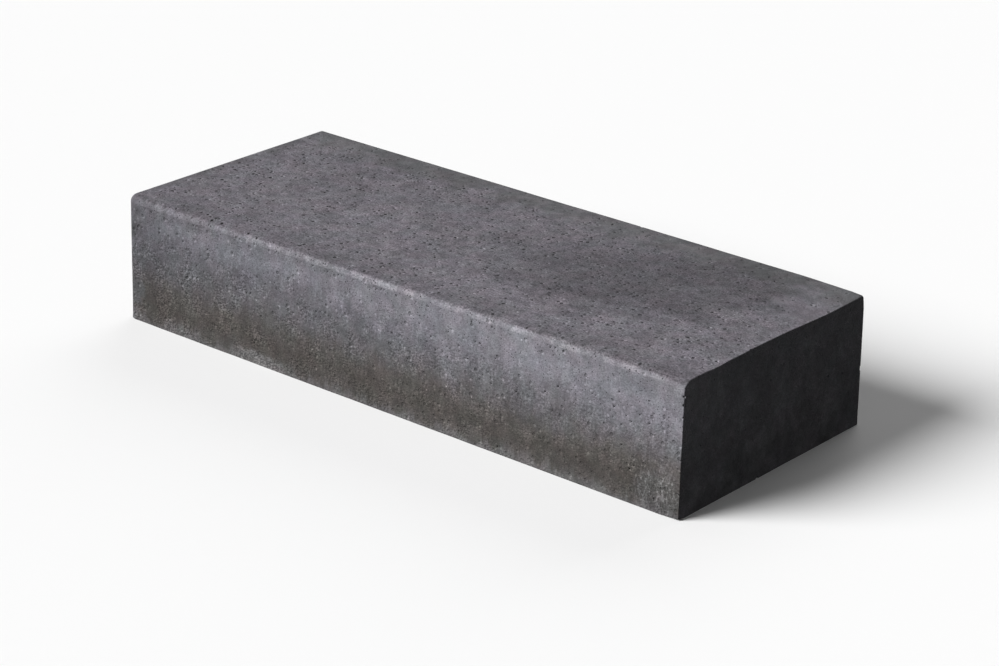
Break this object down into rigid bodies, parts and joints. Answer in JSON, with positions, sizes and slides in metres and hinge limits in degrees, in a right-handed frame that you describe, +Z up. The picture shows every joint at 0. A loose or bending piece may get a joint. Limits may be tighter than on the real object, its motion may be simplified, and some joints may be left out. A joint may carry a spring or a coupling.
{
  "type": "concrete step corner piece",
  "caption": "Solid cast concrete step block with a rounded nosing along the front and round the corner on the left end, and a plain right end that butts against the next step.",
  "frame": {"origin": "middle of the flat bed on which the block rests", "axes": "+X along the front towards the plain joint end, +Y from the nosing to the back, +Z up from the bed to the tread"},
  "size_m": [1, 0.4, 0.19],
  "materials": {
    "concrete": "cast, matt, fine open pores"
  },
  "bodies": {
    "root": {"step_block": "concrete"}
  },
  "joints": []
}
